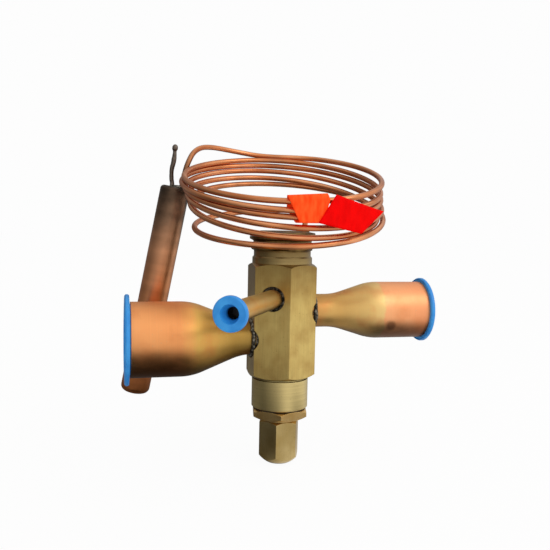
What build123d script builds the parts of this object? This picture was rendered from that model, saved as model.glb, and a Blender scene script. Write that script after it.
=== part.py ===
from build123d import *
import os
from math import copysign, cos, hypot, pi, radians, sin, sqrt, tan

# Thermostatic expansion valve with solder sockets and an external pressure equalizer.
# Millimetres. Heights are measured up the valve's main axis from the seal cap's flat end,
# +X points along the inlet tube and -X along the outlet tube.

# --- Brass body: a hexagon bar with a turned collar below and a turned neck above ---
body_across_flats = 26.0
body_bottom = 36.9
body_top = 84.3
body_chamfer_slope = 30.0
body_chamfer_radius = 12.5
collar_radius = 11.85
collar_bottom = 23.8
undercut_radius = 11.2
undercut_height = 0.7
neck_step_radius = 12.5
neck_step_top = 87.2
neck_radius = 11.9
neck_top = 89.2

# --- Ports: direction about the main axis, and height ---
inlet_angle, inlet_height = 0.0, 64.2
outlet_angle, outlet_height = 180.0, 53.1
equalizer_angle, equalizer_height = 240.0, 70.3
tube_seat = 9.2
braze_recess_floor = 10.5
braze_recess_radius = 8.5
equalizer_recess_floor = 11.2
equalizer_recess_radius = 5.1
inlet_passage_radius = 4.4
outlet_passage_radius, outlet_passage_start = 4.0, 6.9
equalizer_passage_radius = 1.4
riser_radius = 1.2
riser_offset = 7.7

# --- Copper connection tubes: a narrow neck swaged out to a solder socket ---
neck_outer = 7.0
tube_wall = 1.0
socket_step = 0.55
inlet_neck_end, inlet_cone_end, inlet_end = 22.6, 38.7, 62.3
inlet_bell_radius, inlet_socket_depth = 12.15, 19.0
outlet_neck_end, outlet_cone_end, outlet_end = 17.0, 37.8, 62.2
outlet_bell_radius, outlet_socket_depth = 15.3, 23.0
swage_radius = 24.0
equalizer_outer, equalizer_bore, equalizer_end = 3.85, 3.2, 61.0
mouth_depth, mouth_relief = 8.5, 0.2

# --- Transport plugs pushed into the three sockets ---
plug_fit = 0.05
inlet_plug_standoff, outlet_plug_standoff = 0.05, 0.5
plug_depth = 8.0
plug_wall = 1.4
plug_flange = 1.8
rim_groove_depth, rim_groove_width = 0.35, 0.5
inlet_flange_radius = 13.8
outlet_flange_radius = 18.3
equalizer_flange_radius = 6.3
funnel_radius, funnel_depth, funnel_bore = 3.45, 3.8, 2.15

# --- Passages on the main axis ---
adjuster_thread_radius = 9.5
adjuster_thread_top = 35.0
outlet_chamber_radius = 8.0
seat_bottom, seat_top, seat_radius = 56.0, 59.4, 6.5
inlet_chamber_radius, inlet_chamber_top = 5.5, 70.0
rod_radius, rod_clearance = 1.5, 0.04
guide_top = 77.0
seal_pocket_radius = 3.5
diaphragm_recess_floor, diaphragm_recess_radius = 80.0, 9.8
head_seat_floor, head_seat_radius = 84.6, 10.6

# --- Orifice, cone and spring ---
port_radius = 3.4
seat_chamfer = 0.4
cone_gap = 0.03
cone_top, cone_shoulder, cone_bottom = 57.6, 54.77, 51.0
cone_flange_radius, cone_spigot_radius = 5.0, 2.5
carrier_radius, carrier_top, carrier_bottom = 7.0, 54.0, 52.6
carrier_pilot_radius, carrier_pilot_bottom = 4.2, 51.4
spring_radius, wire_radius, spring_turns = 5.5, 0.7, 4.0
spring_plate_radius, spring_plate_bottom, spring_plate_top = 6.6, 29.2, 31.2

# --- Superheat adjuster: screwed housing, rising stem, packing, gland and seal cap ---
housing_across_flats, housing_turn = 22.0, 20.0
housing_bottom, housing_top = 19.4, 23.4
housing_spigot_top = 33.0
spring_bore_radius, spring_bore_floor = 7.0, 26.5
stem_thread_radius, stem_radius, stem_clearance = 3.0, 2.5, 0.05
stem_thread_bottom, stem_square_top, stem_bottom = 22.1, 12.0, 7.0
stem_square = 3.4
nipple_radius, nipple_bottom = 6.0, 8.0
packing_bottom, packing_top, packing_radius = 12.5, 16.5, 4.2
gland_bottom = 9.5
cap_across_flats, cap_turn = 15.5, 9.0
cap_top, cap_floor = 19.0, 3.0
cap_shoulder_radius, cap_shoulder_bottom = 7.5, 18.2
cap_end_radius = 5.2
cap_hex_bottom, cap_hex_top = 3.4, 17.3

# --- Power head ---
head_bore_radius = 8.8
head_across_flats, head_turn = 25.0, 12.0
head_hex_bottom, head_hex_top = 89.7, 93.0
head_waist_radius = 12.2
head_rim_radius = 13.7
diaphragm_bottom, diaphragm_thickness, diaphragm_radius = 95.3, 0.2, 12.9
cover_rim_top, cover_top = 97.0, 97.8
capillary_boss_radius, capillary_boss_top = 2.1, 98.6
capillary_boss_place = (9.8, 1.2)
thrust_pad_radius, thrust_pad_bottom, thrust_pad_top = 8.2, 93.4, 95.1
thrust_boss_radius, thrust_boss_bottom = 3.0, 86.0

# --- Capillary tube: wound in six loose turns above the head ---
capillary_radius = 1.15
points_per_turn = 12
# each turn: height at the back and at the front, radius at the right and at the left, lift at the
# right and drop at the left of the halfway height
turns = [
    (132.1, 109.6, 40.3, 41.1, 2.0, 1.4),
    (130.3, 105.5, 39.8, 42.0, 0.5, 0.7),
    (127.8, 103.1, 40.0, 40.6, 0.2, 0.5),
    (125.3, 99.3, 40.5, 39.7, -0.4, -0.3),
    (122.0, 95.7, 38.8, 38.5, -0.1, 0.1),
    (119.3, 92.8, 41.4, 36.7, 1.8, 1.8),
]
coil_start_radius = 45.0
last_back_height, last_right_radius = 106.7, 37.2
run_share = 0.45
bulb_lead_points = [
    (-37.2, 24.2, 126.4), (-33.9, 27.4, 132.3), (-27.6, 33.9, 135.0), (-13.0, 41.8, 133.9),
]
head_lead_points = [
    (0.0, 38.5, 106.8), (16.0, 33.0, 107.0), (25.0, 22.5, 106.9), (25.5, 12.0, 106.3),
    (19.5, 4.7, 105.6), (13.2, 2.4, 105.2), (9.8, 1.2, 102.6), (9.8, 1.2, 98.6),
]

# --- Sensing bulb, lying beside the outlet tube ---
bulb_radius = 6.35
bulb_low_end = (-59.3, 32.0, 24.5)
bulb_top_end = (-42.4, 24.0, 115.7)
bulb_low_round, bulb_top_round = 2.4, 1.6
tail_radius, tail_offset, tail_bead_radius = 1.05, -1.6, 1.6
capillary_offset = 2.6

# --- Marker tape folded round the three upper turns ---
tape_thickness = 0.4
tape_depth = 6.8
tape_wrap_outline = [(-9.6, 111.7), (5.3, 112.2), (6.5, 108.6), (2.3, 101.1), (-4.9, 101.1)]
tape_flag_angle, tape_flag_distance = -73.0, 44.0
tape_flag_outline = [(-4.5, 111.5), (16.6, 106.0), (6.9, 97.6), (-12.0, 101.2)]


def port_plane(angle, height):
    """The upright plane through a port: x outwards along the port, y up the main axis."""
    a = radians(angle)
    return Plane(origin=(0, 0, height), x_dir=(cos(a), sin(a), 0), z_dir=(sin(a), -cos(a), 0))


def port_axis(plane):
    return Axis(plane.origin, plane.x_dir)


def save(part, label):
    part.label = label
    export_step(part, f"parts/{label}.step")
    solids = len(part.solids())
    print(f"{label:20s} {solids} solid{'s' if solids > 1 else ''} {part.volume:10.1f} mm3")


def turned(points):
    """A piece turned about the main axis from its half section of (radius, height) points."""
    with BuildPart() as piece:
        with BuildSketch(Plane.XZ):
            with BuildLine():
                Polyline(*points, close=True)
            make_face()
        revolve(axis=Axis.Z)
    return piece.part


def dome_middle(start, end):
    """The middle of the arc between two (radius, height) points whose centre is on the main axis."""
    (start_radius, start_height), (end_radius, end_height) = start, end
    difference = start_height**2 + start_radius**2 - end_height**2 - end_radius**2
    centre = difference / (2 * (start_height - end_height))
    middle = (start_radius + end_radius) / 2
    reach = sqrt(hypot(start_radius, start_height - centre)**2 - middle**2)
    return (middle, centre + copysign(reach, start_height - centre))


def domed_hex(across_flats, turn, bottom, top, end_radius, slope):
    """A hexagon bar whose two ends are turned to a shallow dome that starts at end_radius."""
    outside = across_flats / 2 / cos(radians(30)) + 0.2
    rise = (outside - end_radius) * tan(radians(slope))
    low_start, low_end = (end_radius, bottom), (outside, bottom + rise)
    high_end, high_start = (outside, top - rise), (end_radius, top)
    with BuildPart() as bar:
        with BuildSketch(Plane.XY.offset(bottom)):
            RegularPolygon(across_flats / 2, 6, major_radius=False, rotation=turn)
        extrude(amount=top - bottom)
        with BuildSketch(Plane.XZ):
            with BuildLine():
                Polyline(high_start, (0, top), (0, bottom), low_start)
                ThreePointArc(low_start, dome_middle(low_start, low_end), low_end)
                Line(low_end, high_end)
                ThreePointArc(high_end, dome_middle(high_end, high_start), high_start)
            make_face()
        revolve(axis=Axis.Z, mode=Mode.INTERSECT)
    return bar.part


os.makedirs("parts", exist_ok=True)
inlet_plane = port_plane(inlet_angle, inlet_height)
outlet_plane = port_plane(outlet_angle, outlet_height)
equalizer_plane = port_plane(equalizer_angle, equalizer_height)


# ---------------------------------------------------------------- valve body
def stepped_bore(plane, steps):
    """The space drilled along a port, from (distance, radius) steps; the last one only ends it."""
    outline = [(steps[0][0], 0)]
    for (start, radius), (end, _) in zip(steps, steps[1:]):
        outline += [(start, radius), (end, radius)]
    outline += [(steps[-1][0], 0)]
    with BuildPart() as bore:
        with BuildSketch(plane):
            with BuildLine():
                Polyline(*outline, close=True)
            make_face()
        revolve(axis=port_axis(plane))
    return bore.part


beyond_body = body_across_flats / 2 + 3
with BuildPart() as valve_body:
    add(domed_hex(body_across_flats, 30, body_bottom, body_top, body_chamfer_radius, body_chamfer_slope))
    with BuildSketch(Plane.XZ):
        with BuildLine():
            Polyline(
                (0, collar_bottom), (collar_radius - 0.3, collar_bottom), (collar_radius, collar_bottom + 0.3),
                (collar_radius, body_bottom - undercut_height - 0.2),
                (undercut_radius, body_bottom - undercut_height),
                (undercut_radius, body_bottom), (undercut_radius, body_top),
                (neck_step_radius, body_top), (neck_step_radius, neck_step_top - 0.5),
                (neck_step_radius - 0.4, neck_step_top), (neck_radius, neck_step_top),
                (neck_radius, neck_top), (0, neck_top), close=True,
            )
        make_face()
    revolve(axis=Axis.Z)
    with BuildSketch(Plane.XZ):
        with BuildLine():
            Polyline(
                (0, collar_bottom), (adjuster_thread_radius, collar_bottom),
                (adjuster_thread_radius, adjuster_thread_top), (outlet_chamber_radius, adjuster_thread_top),
                (outlet_chamber_radius, seat_bottom), (seat_radius, seat_bottom), (seat_radius, seat_top),
                (inlet_chamber_radius, seat_top), (inlet_chamber_radius, inlet_chamber_top),
                (rod_radius + rod_clearance, inlet_chamber_top), (rod_radius + rod_clearance, guide_top),
                (seal_pocket_radius, guide_top), (seal_pocket_radius, diaphragm_recess_floor),
                (diaphragm_recess_radius, diaphragm_recess_floor), (diaphragm_recess_radius, head_seat_floor),
                (head_seat_radius, head_seat_floor), (head_seat_radius, neck_top), (0, neck_top), close=True,
            )
        make_face()
    revolve(axis=Axis.Z, mode=Mode.SUBTRACT)
    add(stepped_bore(inlet_plane, [
        (0, inlet_passage_radius), (tube_seat, neck_outer),
        (braze_recess_floor, braze_recess_radius), (beyond_body, 0),
    ]), mode=Mode.SUBTRACT)
    add(stepped_bore(outlet_plane, [
        (outlet_passage_start, outlet_passage_radius), (tube_seat, neck_outer),
        (braze_recess_floor, braze_recess_radius), (beyond_body, 0),
    ]), mode=Mode.SUBTRACT)
    add(stepped_bore(equalizer_plane, [
        (riser_offset - riser_radius / 2, equalizer_passage_radius), (tube_seat, equalizer_outer),
        (equalizer_recess_floor, equalizer_recess_radius), (beyond_body, 0),
    ]), mode=Mode.SUBTRACT)
    with BuildSketch(Plane.XY.offset(equalizer_height)):
        with PolarLocations(riser_offset, 1, start_angle=equalizer_angle):
            Circle(riser_radius)
    extrude(amount=diaphragm_recess_floor - equalizer_height, mode=Mode.SUBTRACT)
save(valve_body.part, "valve_body")


# ---------------------------------------------------------------- connection tubes
def swaged_tube(plane, neck_end, cone_end, end, bell_radius, socket_depth):
    """A tube whose outer end is swaged to a solder socket with a stop shoulder."""
    bore = bell_radius - tube_wall
    mouth = end - mouth_depth
    stop = end - socket_depth
    waist = bore - socket_step
    slope = (bell_radius - neck_outer) / (cone_end - neck_end)
    inner_cone_end = neck_end + (waist - neck_outer + tube_wall) / slope
    with BuildPart() as tube:
        with BuildSketch(plane):
            with BuildLine():
                FilletPolyline(
                    (tube_seat, neck_outer), (neck_end, neck_outer), (cone_end, bell_radius),
                    (end, bell_radius), (end, bore + mouth_relief), (mouth, bore + mouth_relief), (mouth, bore),
                    (stop, bore), (stop, waist), (min(inner_cone_end, stop - 2.5), waist),
                    (neck_end, neck_outer - tube_wall), (tube_seat, neck_outer - tube_wall),
                    radius=[0, swage_radius, swage_radius, 0, 0, 0, 0, 0, 0, swage_radius / 3, swage_radius, 0],
                    close=True,
                )
            make_face()
        revolve(axis=port_axis(plane))
    return tube.part


save(swaged_tube(inlet_plane, inlet_neck_end, inlet_cone_end, inlet_end, inlet_bell_radius,
                 inlet_socket_depth), "inlet_tube")
save(swaged_tube(outlet_plane, outlet_neck_end, outlet_cone_end, outlet_end, outlet_bell_radius,
                 outlet_socket_depth), "outlet_tube")

with BuildPart() as equalizer_tube:
    with BuildSketch(equalizer_plane):
        with BuildLine():
            Polyline(
                (tube_seat, equalizer_bore), (tube_seat, equalizer_outer), (equalizer_end, equalizer_outer),
                (equalizer_end, equalizer_bore + mouth_relief),
                (equalizer_end - mouth_depth, equalizer_bore + mouth_relief),
                (equalizer_end - mouth_depth, equalizer_bore), close=True,
            )
        make_face()
    revolve(axis=port_axis(equalizer_plane))
save(equalizer_tube.part, "equalizer_tube")


# ---------------------------------------------------------------- brazed joints
def braze_ring(plane, tube_radius, recess_radius, floor, edge, crest):
    """The filler that stands in the recess round a tube, hollowed as it wetted both walls."""
    middle = (tube_radius + recess_radius) / 2
    with BuildPart() as ring:
        with BuildSketch(plane):
            with BuildLine():
                Polyline((crest, tube_radius), (floor, tube_radius), (floor, recess_radius),
                         (edge, recess_radius))
                ThreePointArc((edge, recess_radius), (edge, middle), (crest, tube_radius))
            make_face()
        revolve(axis=port_axis(plane))
    return ring.part


save(braze_ring(inlet_plane, neck_outer, braze_recess_radius, braze_recess_floor, 11.0, 12.2),
     "inlet_braze_ring")
save(braze_ring(outlet_plane, neck_outer, braze_recess_radius, braze_recess_floor, 11.0, 12.2),
     "outlet_braze_ring")
save(braze_ring(equalizer_plane, equalizer_outer, equalizer_recess_radius, equalizer_recess_floor, 11.8, 12.6),
     "equalizer_braze_ring")


# ---------------------------------------------------------------- transport plugs
def socket_plug(plane, end, bore, flange_radius, standoff):
    """A hollow cup with a thin flange, grooved inside its rim, its open side facing outwards."""
    face = end + standoff
    groove = flange_radius - 0.4
    shank = bore + mouth_relief - plug_fit
    inside = shank - plug_wall
    with BuildPart() as plug:
        with BuildSketch(plane):
            with BuildLine():
                Polyline(
                    (end - plug_depth, 0), (end - plug_depth, shank - 0.8), (end - plug_depth + 1.6, shank),
                    (face, shank), (face, groove - rim_groove_width),
                    (face + rim_groove_depth, groove - rim_groove_width / 2), (face, groove),
                    (face, flange_radius - 0.3), (face + 0.5, flange_radius),
                    (face + plug_flange - 0.5, flange_radius), (face + plug_flange, flange_radius - 0.5),
                    (face + plug_flange, inside + 0.8), (face + plug_flange - 0.8, inside),
                    (end - plug_depth + plug_wall, inside - 0.3), (end - plug_depth + plug_wall, 0),
                    close=True,
                )
            make_face()
        revolve(axis=port_axis(plane))
    return plug.part


save(socket_plug(inlet_plane, inlet_end, inlet_bell_radius - tube_wall, inlet_flange_radius,
                 inlet_plug_standoff), "inlet_plug")
save(socket_plug(outlet_plane, outlet_end, outlet_bell_radius - tube_wall, outlet_flange_radius,
                 outlet_plug_standoff), "outlet_plug")

with BuildPart() as equalizer_plug:
    with BuildSketch(equalizer_plane):
        with BuildLine():
            face = equalizer_end + plug_fit
            tip = equalizer_end - plug_depth
            shank = equalizer_bore + mouth_relief - plug_fit
            Polyline(
                (tip, 0), (tip, shank - 0.5), (tip + 1.5, shank), (face, shank),
                (face, equalizer_flange_radius - 0.3),
                (face + 0.4, equalizer_flange_radius), (face + 1.6, equalizer_flange_radius - 0.1),
                (face + 2.0, equalizer_flange_radius - 0.5), (face + 2.0, funnel_radius),
                (face + 2.0 - funnel_depth, funnel_bore), (tip + 1.2, funnel_bore - 0.05), (tip + 1.2, 0),
                close=True,
            )
        make_face()
    revolve(axis=port_axis(equalizer_plane))
save(equalizer_plug.part, "equalizer_plug")

# ---------------------------------------------------------------- orifice, cone and push rod
save(turned([
    (port_radius, seat_top), (seat_radius, seat_top), (seat_radius, seat_bottom),
    (port_radius + seat_chamfer, seat_bottom), (port_radius, seat_bottom + seat_chamfer),
]), "orifice_seat")

cone_line = port_radius + seat_chamfer - cone_gap + seat_bottom
save(turned([
    (0, cone_bottom), (cone_spigot_radius, cone_bottom), (cone_spigot_radius, carrier_top),
    (cone_flange_radius, carrier_top), (cone_flange_radius, cone_line - cone_flange_radius),
    (cone_line - cone_top, cone_top), (rod_radius, cone_top), (rod_radius, seat_bottom), (0, seat_bottom),
]), "valve_cone")

save(turned([
    (cone_spigot_radius, carrier_top), (carrier_radius, carrier_top), (carrier_radius, carrier_bottom),
    (carrier_pilot_radius, carrier_bottom), (carrier_pilot_radius, carrier_pilot_bottom),
    (cone_spigot_radius, carrier_pilot_bottom),
]), "spring_carrier")

save(turned([(0, seat_bottom), (rod_radius, seat_bottom), (rod_radius, thrust_boss_bottom),
             (0, thrust_boss_bottom)]), "push_rod")

rod_seal_bore = rod_radius + rod_clearance
save(turned([(rod_seal_bore, guide_top), (seal_pocket_radius, guide_top),
             (seal_pocket_radius, diaphragm_recess_floor - 0.6),
             (rod_seal_bore, diaphragm_recess_floor - 0.6)]), "rod_seal")
save(turned([(rod_seal_bore + 0.2, diaphragm_recess_floor - 0.6),
             (seal_pocket_radius, diaphragm_recess_floor - 0.6),
             (seal_pocket_radius, diaphragm_recess_floor),
             (rod_seal_bore + 0.2, diaphragm_recess_floor)]), "seal_washer")

# ---------------------------------------------------------------- superheat spring and its plate
save(turned([
    (0, spring_plate_bottom), (spring_plate_radius, spring_plate_bottom),
    (spring_plate_radius, spring_plate_top), (carrier_pilot_radius, spring_plate_top),
    (carrier_pilot_radius - 0.6, spring_plate_top + 2.4), (0, spring_plate_top + 2.4),
]), "spring_plate")

spring_low = spring_plate_top + wire_radius + 0.02
spring_high = carrier_bottom - wire_radius - 0.02
with BuildPart() as superheat_spring:
    with BuildLine():
        Helix(pitch=(spring_high - spring_low) / spring_turns, height=spring_high - spring_low,
              radius=spring_radius, center=(0, 0, spring_low))
    with BuildSketch(Plane.XZ):
        with Locations((spring_radius, spring_low)):
            Circle(wire_radius)
    sweep(is_frenet=True)
save(superheat_spring.part, "superheat_spring")

# ---------------------------------------------------------------- adjuster housing
with BuildPart() as adjuster_housing:
    add(domed_hex(housing_across_flats, housing_turn, housing_bottom, housing_top, housing_across_flats / 2 - 0.3,
                 body_chamfer_slope))
    with BuildSketch(Plane.XZ):
        with BuildLine():
            Polyline(
                (0, nipple_bottom), (nipple_radius - 0.5, nipple_bottom), (nipple_radius, nipple_bottom + 0.5),
                (nipple_radius, housing_bottom), (adjuster_thread_radius, housing_bottom),
                (adjuster_thread_radius, housing_spigot_top), (0, housing_spigot_top), close=True,
            )
        make_face()
    revolve(axis=Axis.Z)
    with BuildSketch(Plane.XZ):
        with BuildLine():
            Polyline(
                (0, nipple_bottom), (packing_radius, nipple_bottom), (packing_radius, packing_top),
                (stem_radius + stem_clearance, packing_top), (stem_radius + stem_clearance, housing_bottom),
                (stem_thread_radius + stem_clearance, housing_bottom),
                (stem_thread_radius + stem_clearance, spring_bore_floor),
                (spring_bore_radius, spring_bore_floor), (spring_bore_radius, housing_spigot_top),
                (0, housing_spigot_top), close=True,
            )
        make_face()
    revolve(axis=Axis.Z, mode=Mode.SUBTRACT)
save(adjuster_housing.part, "adjuster_housing")

save(turned([(adjuster_thread_radius, housing_top), (collar_radius - 0.5, housing_top),
             (collar_radius - 0.5, collar_bottom), (adjuster_thread_radius, collar_bottom)]),
     "housing_gasket")

# ---------------------------------------------------------------- adjusting stem, packing and gland
with BuildPart() as adjusting_stem:
    with BuildSketch(Plane.XZ):
        with BuildLine():
            Polyline(
                (0, stem_square_top), (stem_radius, stem_square_top), (stem_radius, stem_thread_bottom),
                (stem_thread_radius, stem_thread_bottom + 0.5), (stem_thread_radius, spring_plate_bottom),
                (0, spring_plate_bottom), close=True,
            )
        make_face()
    revolve(axis=Axis.Z)
    with BuildSketch(Plane.XY.offset(stem_bottom)):
        Rectangle(stem_square, stem_square)
    extrude(amount=stem_square_top - stem_bottom)
    chamfer(adjusting_stem.faces().sort_by(Axis.Z)[0].edges(), 0.4)
save(adjusting_stem.part, "adjusting_stem")

save(turned([(stem_radius + stem_clearance, packing_bottom), (packing_radius, packing_bottom),
             (packing_radius, packing_top), (stem_radius + stem_clearance, packing_top)]), "stem_packing")
save(turned([(stem_radius + stem_clearance + 0.1, gland_bottom), (packing_radius, gland_bottom),
             (packing_radius, packing_bottom), (stem_radius + stem_clearance + 0.1, packing_bottom)]),
     "packing_gland")

# ---------------------------------------------------------------- seal cap
cap_corner = cap_across_flats / 2 / cos(radians(30))
cap_nose, cap_low_corner = (cap_end_radius, 0), (cap_corner, cap_hex_bottom)
cap_high_corner, cap_shoulder = (cap_corner, cap_hex_top), (cap_shoulder_radius, cap_shoulder_bottom)
with BuildPart() as seal_cap:
    with BuildSketch(Plane.XY):
        RegularPolygon(cap_across_flats / 2, 6, major_radius=False, rotation=cap_turn)
    extrude(amount=cap_top)
    with BuildSketch(Plane.XZ):
        with BuildLine():
            Polyline(cap_shoulder, (cap_shoulder_radius, cap_top), (0, cap_top), (0, 0), cap_nose)
            ThreePointArc(cap_nose, dome_middle(cap_nose, cap_low_corner), cap_low_corner)
            Line(cap_low_corner, cap_high_corner)
            ThreePointArc(cap_high_corner, dome_middle(cap_high_corner, cap_shoulder), cap_shoulder)
        make_face()
    revolve(axis=Axis.Z, mode=Mode.INTERSECT)
    with BuildSketch(Plane.XZ):
        with BuildLine():
            Polyline(
                (0, cap_floor - 1.2), (stem_thread_radius, cap_floor), (nipple_radius + plug_fit, cap_floor + 1.5),
                (nipple_radius + plug_fit, cap_top), (0, cap_top), close=True,
            )
        make_face()
    revolve(axis=Axis.Z, mode=Mode.SUBTRACT)
save(seal_cap.part, "seal_cap")
save(turned([(nipple_radius + plug_fit, cap_top), (cap_shoulder_radius - 0.1, cap_top),
             (cap_shoulder_radius - 0.1, housing_bottom), (nipple_radius + plug_fit, housing_bottom)]),
     "cap_gasket")

# ---------------------------------------------------------------- power head
with BuildPart() as head_base:
    add(domed_hex(head_across_flats, head_turn, head_hex_bottom, head_hex_top, head_waist_radius,
                 body_chamfer_slope))
    with BuildSketch(Plane.XZ):
        with BuildLine():
            Polyline(
                (head_bore_radius, head_seat_floor), (head_seat_radius, head_seat_floor),
                (head_seat_radius, neck_top), (neck_radius, neck_top), (neck_radius, head_hex_bottom),
                (head_waist_radius, head_hex_bottom), (head_waist_radius, head_hex_top + 0.6),
                (head_rim_radius, diaphragm_bottom - 0.9), (head_rim_radius, diaphragm_bottom),
                (head_bore_radius, diaphragm_bottom), close=True,
            )
        make_face()
    revolve(axis=Axis.Z)
    with BuildSketch(Plane.XZ):
        with BuildLine():
            Polyline(
                (0, head_seat_floor), (head_bore_radius, head_seat_floor), (head_bore_radius, head_hex_top + 0.4),
                (diaphragm_radius - 1.2, diaphragm_bottom), (0, diaphragm_bottom), close=True,
            )
        make_face()
    revolve(axis=Axis.Z, mode=Mode.SUBTRACT)
save(head_base.part, "head_base")

diaphragm_top = diaphragm_bottom + diaphragm_thickness
save(turned([(0, diaphragm_bottom), (diaphragm_radius, diaphragm_bottom), (diaphragm_radius, diaphragm_top),
             (0, diaphragm_top)]), "diaphragm")

with BuildPart() as head_cover:
    with BuildSketch(Plane.XZ):
        with BuildLine():
            FilletPolyline(
                (0, diaphragm_top + 0.5), (diaphragm_radius - 2.4, diaphragm_top + 0.5),
                (diaphragm_radius - 1.2, diaphragm_top), (head_rim_radius, diaphragm_top),
                (head_rim_radius, cover_rim_top), (head_rim_radius - 4.6, cover_top), (0, cover_top),
                radius=[0, 0, 0, 0, 0.5, 2.0, 0], close=True,
            )
        make_face()
    revolve(axis=Axis.Z)
    with BuildSketch(Plane.XY.offset(cover_rim_top)):
        with Locations(capillary_boss_place):
            Circle(capillary_boss_radius)
    extrude(amount=capillary_boss_top - cover_rim_top)
save(head_cover.part, "head_cover")

save(turned([
    (0, thrust_boss_bottom), (thrust_boss_radius, thrust_boss_bottom),
    (thrust_boss_radius, thrust_pad_bottom - 0.8), (thrust_pad_radius, thrust_pad_bottom),
    (thrust_pad_radius, thrust_pad_top), (0, thrust_pad_top),
]), "thrust_pad")


# ---------------------------------------------------------------- sensing bulb
bulb_vector = Vector(*bulb_top_end) - Vector(*bulb_low_end)
bulb_length = bulb_vector.length
bulb_plane = Plane(origin=bulb_low_end, x_dir=(1, 0, -bulb_vector.X / bulb_vector.Z), z_dir=bulb_vector)
with BuildPart() as sensing_bulb:
    with BuildSketch(Plane(origin=bulb_low_end, x_dir=bulb_plane.x_dir, z_dir=-bulb_plane.y_dir)):
        with BuildLine():
            FilletPolyline((0, 0), (bulb_radius, 0), (bulb_radius, bulb_length), (0, bulb_length),
                           radius=[0, bulb_low_round, bulb_top_round, 0], close=True)
        make_face()
    revolve(axis=Axis(bulb_low_end, bulb_plane.z_dir))
save(sensing_bulb.part, "sensing_bulb")


def on_bulb(across, along):
    """A point in the bulb's own upright plane: across to the right, along from its top face."""
    return bulb_plane.from_local_coords((across, 0, bulb_length + along))


with BuildPart() as bulb_tail:
    with BuildLine() as tail_line:
        FilletPolyline(on_bulb(tail_offset, 0), on_bulb(tail_offset, 5.5), on_bulb(tail_offset - 0.6, 10),
                       on_bulb(tail_offset - 1.0, 14.0), radius=8.0)
    with BuildSketch(Plane(origin=tail_line.line @ 0, z_dir=tail_line.line % 0)):
        Circle(tail_radius)
    sweep()
    with Locations(on_bulb(tail_offset - 1.0, 14.6)):
        Sphere(tail_bead_radius)
save(bulb_tail.part, "bulb_tail")


# ---------------------------------------------------------------- capillary tube
def eased(values, place):
    """The list's value at a fractional place, moving smoothly from each entry to the next."""
    whole = min(int(place), len(values) - 2)
    share = (1 - cos(pi * (place - whole))) / 2
    return values[whole] + (values[whole + 1] - values[whole]) * share


def coil_points():
    """Points round the turns, clockwise seen from above, from the back of the first turn."""
    heights = [height for turn in turns for height in turn[:2]] + [last_back_height]
    radii = [coil_start_radius] + [radius for turn in turns for radius in turn[2:4]] + [last_right_radius]
    tilts = [turns[0][4]] + [tilt for turn in turns for tilt in turn[4:]] + [turns[-1][5]]
    spread = 1 / cos(pi / points_per_turn)
    route = []
    for step in range(points_per_turn * len(turns)):
        half_turns = 2 * step / points_per_turn
        angle = pi / 2 - pi * half_turns
        radius = eased(radii, half_turns + 0.5) * spread
        height = eased(heights, half_turns) + eased(tilts, half_turns + 0.5) * sin(pi * half_turns)
        route.append((radius * cos(angle), radius * sin(angle), height))
    return route


def bend_radii(points):
    """The largest tangent arc at each corner: a share of its shorter run over tan of half the turn."""
    radii = []
    for before, corner, after in zip(points, points[1:], points[2:]):
        first, second = Vector(*corner) - Vector(*before), Vector(*after) - Vector(*corner)
        turn = radians(first.get_angle(second))
        radii.append(run_share * min(first.length, second.length) / tan(turn / 2))
    return radii


bulb_lead = [tuple(on_bulb(capillary_offset, 0)), tuple(on_bulb(capillary_offset, 6.0))] + bulb_lead_points
capillary_route = bulb_lead + coil_points() + head_lead_points
capillary_bends = bend_radii(capillary_route)
with BuildPart() as capillary_tube:
    with BuildLine() as capillary_line:
        FilletPolyline(*capillary_route, radius=capillary_bends)
    with BuildSketch(Plane(origin=capillary_line.line @ 0, z_dir=capillary_line.line % 0)):
        Circle(capillary_radius)
    sweep()
save(capillary_tube.part, "capillary_tube")
capillary_length = capillary_line.wire().length
swept_volume = pi * capillary_radius**2 * capillary_length
print(f"capillary {capillary_length:.0f} mm long, tightest bend {min(capillary_bends):.1f} mm, "
      f"volume over section times length {capillary_tube.part.volume / swept_volume:.4f}")

# ---------------------------------------------------------------- marker tape
tape_front = -44.3
with BuildPart() as marker_tape:
    with BuildSketch(Plane.XZ.offset(-tape_front - tape_depth)):
        with BuildLine():
            Polyline(*tape_wrap_outline, close=True)
        make_face()
    extrude(amount=tape_depth)
    (left, left_top), (right, right_top) = tape_wrap_outline[:2]
    fall = 20 * (right_top - left_top) / (right - left)
    low = tape_wrap_outline[3][1] + tape_thickness
    with BuildSketch(Plane.XZ.offset(-tape_front - tape_depth + tape_thickness)):
        with BuildLine():
            Polyline(
                (left - 20, low), (left - 20, left_top - tape_thickness - fall),
                (right + 20, right_top - tape_thickness + fall), (right + 20, low), close=True,
            )
        make_face()
    extrude(amount=tape_depth - 2 * tape_thickness, mode=Mode.SUBTRACT)
    flag_normal = (cos(radians(tape_flag_angle)), sin(radians(tape_flag_angle)), 0)
    flag_across = (-flag_normal[1], flag_normal[0], 0)
    flag_origin = tuple(tape_flag_distance * part for part in flag_normal)
    with BuildSketch(Plane(origin=flag_origin, x_dir=flag_across, z_dir=flag_normal)):
        with BuildLine():
            Polyline(*tape_flag_outline, close=True)
        make_face()
    extrude(amount=tape_thickness)
save(marker_tape.part, "marker_tape")
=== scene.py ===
"""The finish of a thermostatic expansion valve: brass, heat-tinted copper, blue plugs, red tape."""
from math import cos, pi, radians, sin

import bmesh
import bpy
from mathutils import Matrix, Quaternion, Vector, noise


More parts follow.
